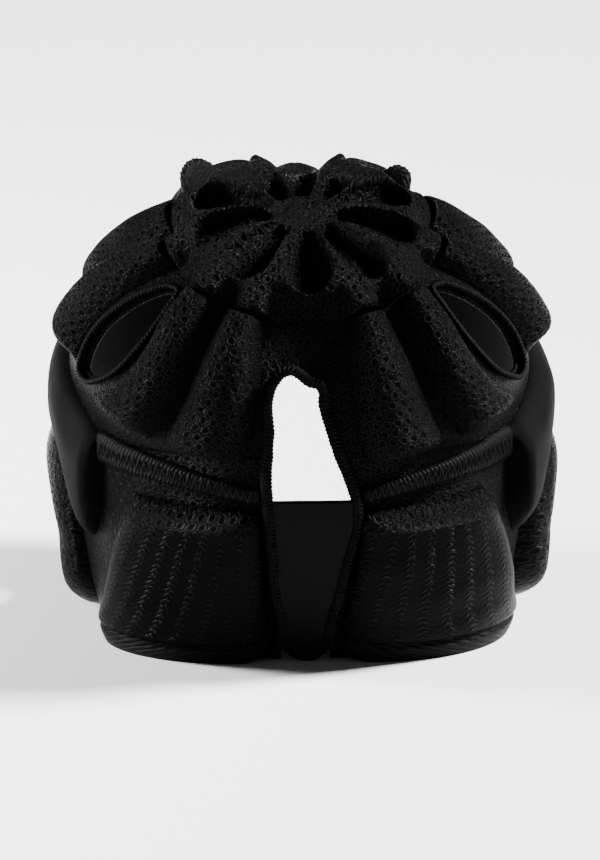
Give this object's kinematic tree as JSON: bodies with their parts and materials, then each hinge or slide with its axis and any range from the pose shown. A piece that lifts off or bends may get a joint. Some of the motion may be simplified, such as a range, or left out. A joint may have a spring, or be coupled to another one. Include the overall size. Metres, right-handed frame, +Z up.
{
  "type": "soft shell helmet",
  "caption": "Soft padded head guard with a ten-petal crown, long back ribs, vents, a keyhole at the nape closed by an elastic strap, ear pads with holes and a chin strap",
  "frame": {"origin": "middle of the bounding box, on the surface that the lower pads rest on", "axes": "+Z up, -Y the back of the head with the keyhole, +Y the face opening, +X the wearer's right"},
  "size_m": [0.2078, 0.2081, 0.183],
  "materials": {
    "mesh_fabric": "black honeycomb mesh over foam",
    "knit_fabric": "black chevron knit over foam",
    "binding_tape": "black stretch binding with overlock stitches",
    "elastic": "black ribbed elastic webbing"
  },
  "bodies": {
    "root": {"crown_panel": "mesh_fabric", "front_rib_centre": "mesh_fabric", "brow_pad_centre": "mesh_fabric", "back_rib_inner_left": "mesh_fabric", "back_rib_inner_right": "mesh_fabric", "back_rib_outer_left": "mesh_fabric", "back_rib_outer_right": "mesh_fabric", "side_rib_left": "mesh_fabric", "side_rib_right": "mesh_fabric", "upper_side_rib_left": "mesh_fabric", "upper_side_rib_right": "mesh_fabric", "front_rib_left": "mesh_fabric", "front_rib_right": "mesh_fabric", "brow_pad_left": "mesh_fabric", "brow_pad_right": "mesh_fabric", "ear_top_panel_left": "mesh_fabric", "ear_top_panel_right": "mesh_fabric", "ear_pad_left": "mesh_fabric", "ear_pad_right": "mesh_fabric", "shell_base": "knit_fabric", "nape_pad_left": "knit_fabric", "nape_pad_right": "knit_fabric", "back_binding": "binding_tape", "vent_lip_left": "binding_tape", "vent_lip_right": "binding_tape", "seam_band_left": "binding_tape", "seam_band_right": "binding_tape", "back_vent_binding_left": "binding_tape", "back_vent_binding_right": "binding_tape", "nape_strap": "elastic", "chin_strap": "elastic"}
  },
  "joints": []
}
